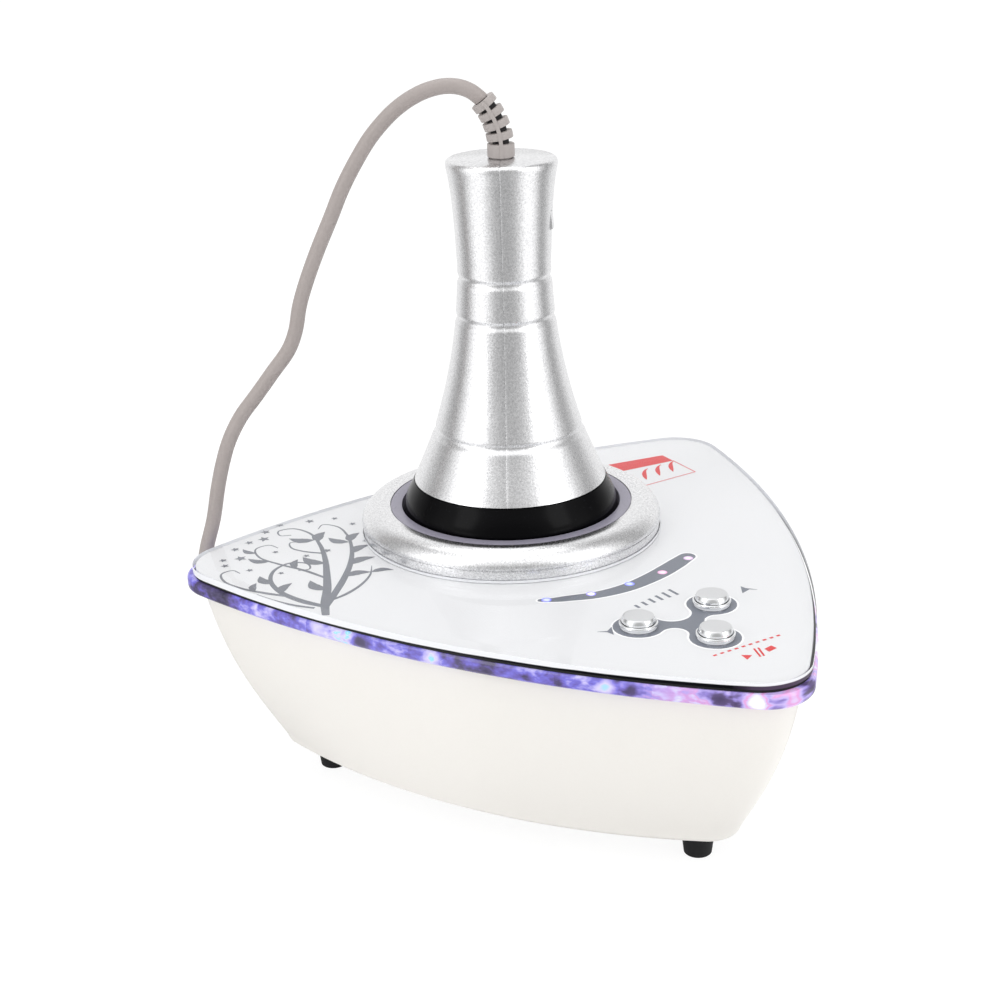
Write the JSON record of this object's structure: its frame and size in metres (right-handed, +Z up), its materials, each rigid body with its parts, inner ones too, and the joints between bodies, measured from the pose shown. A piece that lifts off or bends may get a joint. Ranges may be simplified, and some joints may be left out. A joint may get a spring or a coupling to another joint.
{
  "type": "cavitation slimming machine",
  "caption": "Three-cornered desktop beauty device with a glass top, lit edge and push buttons; a bell-shaped ultrasound handset on a curled cord stands in its round dish.",
  "frame": {"origin": "on the floor, under the middle of the light band's box", "axes": "+Z up; -Y towards the front corner with the buttons; +Y towards the rear side with the sockets; +X to the right seen from the front"},
  "size_m": [0.2346, 0.3135, 0.2484],
  "materials": {
    "shell_white": "cream-white satin moulded plastic",
    "frame_white": "plain white moulded plastic",
    "glass_white": "gloss glass painted white on its back, with grey and red print",
    "clear_acrylic": "clear polished acrylic lit blue and violet from inside",
    "silver_paint": "metallic silver paint with fine flakes on plastic",
    "chrome": "bright chrome with a satin top",
    "steel": "brushed",
    "aluminium": "fine turned",
    "liner_violet": "grey-violet moulded plastic",
    "head_black": "high-gloss black",
    "rubber_black": "matt black rubber",
    "plastic_black": "black moulded plastic",
    "cord_grey": "warm grey satin cord jacket",
    "circuit_green": "green circuit board",
    "ceramic_white": "off-white ceramic",
    "ferrite_grey": "dark ferrite core with a taped winding",
    "lamp_clear": "clear lamp, lit blue",
    "ribbon_grey": "grey flat cable"
  },
  "bodies": {
    "base": {"housing_shell": "shell_white", "foot_front": "rubber_black", "foot_right": "rubber_black", "foot_left": "rubber_black", "case_screw_front": "steel", "case_screw_right": "steel", "case_screw_left": "steel", "light_band": "clear_acrylic", "led_strip": "frame_white", "glass_gasket": "rubber_black", "top_glass": "glass_white", "top_frame": "frame_white", "dish_ring": "silver_paint", "dish_liner": "liner_violet", "control_board": "circuit_green", "indicator_led_1": "lamp_clear", "indicator_led_2": "lamp_clear", "indicator_led_3": "lamp_clear", "indicator_led_4": "lamp_clear", "indicator_led_5": "lamp_clear", "intensity_down_bezel": "chrome", "intensity_down_switch": "plastic_black", "intensity_up_bezel": "chrome", "intensity_up_switch": "plastic_black", "start_pause_bezel": "chrome", "start_pause_switch": "plastic_black", "main_board": "circuit_green", "output_transformer": "ferrite_grey", "heat_sink": "aluminium", "filter_capacitor_1": "plastic_black", "filter_capacitor_2": "plastic_black", "buzzer": "plastic_black", "ribbon_cable": "ribbon_grey", "handset_socket": "steel", "socket_nut": "steel", "power_inlet": "plastic_black", "inlet_nut": "steel", "power_switch": "plastic_black", "handset_plug": "steel", "cord_coil": "cord_grey", "cord_free": "cord_grey", "cord_tail": "cord_grey"},
    "handset": {"handset_shell_left": "silver_paint", "handset_shell_right": "silver_paint", "head_ring": "head_black", "treatment_face": "aluminium", "piezo_disc_1": "ceramic_white", "piezo_disc_2": "ceramic_white", "back_mass": "steel", "clamp_bolt": "steel", "handset_board": "circuit_green", "handset_switch": "plastic_black", "cord_boot": "cord_grey"},
    "key": {"handset_key": "silver_paint"},
    "rocker": {"power_rocker": "plastic_black"},
    "button_down": {"intensity_down_button": "chrome"},
    "button_up": {"intensity_up_button": "chrome"},
    "button_start": {"start_pause_button": "chrome"}
  },
  "joints": [
    {"name": "handset_lift", "type": "slide", "parent": "base", "child": "handset", "axis": [0, 0, 1], "range_m": [0, 0.08], "deforming": ["cord_free"]},
    {"name": "key_press", "type": "hinge", "parent": "handset", "child": "key", "pos_m": [0.01315, 0.04244, 0.2026], "axis": [0.5693, 0.8221, 0], "range_deg": [0, 5], "stiffness_Nm_per_rad": 0.005, "springref_deg": -2.86},
    {"name": "power_rock", "type": "hinge", "parent": "base", "child": "rocker", "pos_m": [0.003, 0.09391, 0.046], "axis": [0, 0, 1], "range_deg": [0, 14]},
    {"name": "intensity_down_press", "type": "slide", "parent": "base", "child": "button_down", "axis": [0, 0, -1], "range_m": [0, 0.0008], "stiffness_N_per_m": 300, "springref_m": -0.0005},
    {"name": "intensity_up_press", "type": "slide", "parent": "base", "child": "button_up", "axis": [0, 0, -1], "range_m": [0, 0.0008], "stiffness_N_per_m": 300, "springref_m": -0.0005},
    {"name": "start_pause_press", "type": "slide", "parent": "base", "child": "button_start", "axis": [0, 0, -1], "range_m": [0, 0.0008], "stiffness_N_per_m": 300, "springref_m": -0.0005}
  ]
}
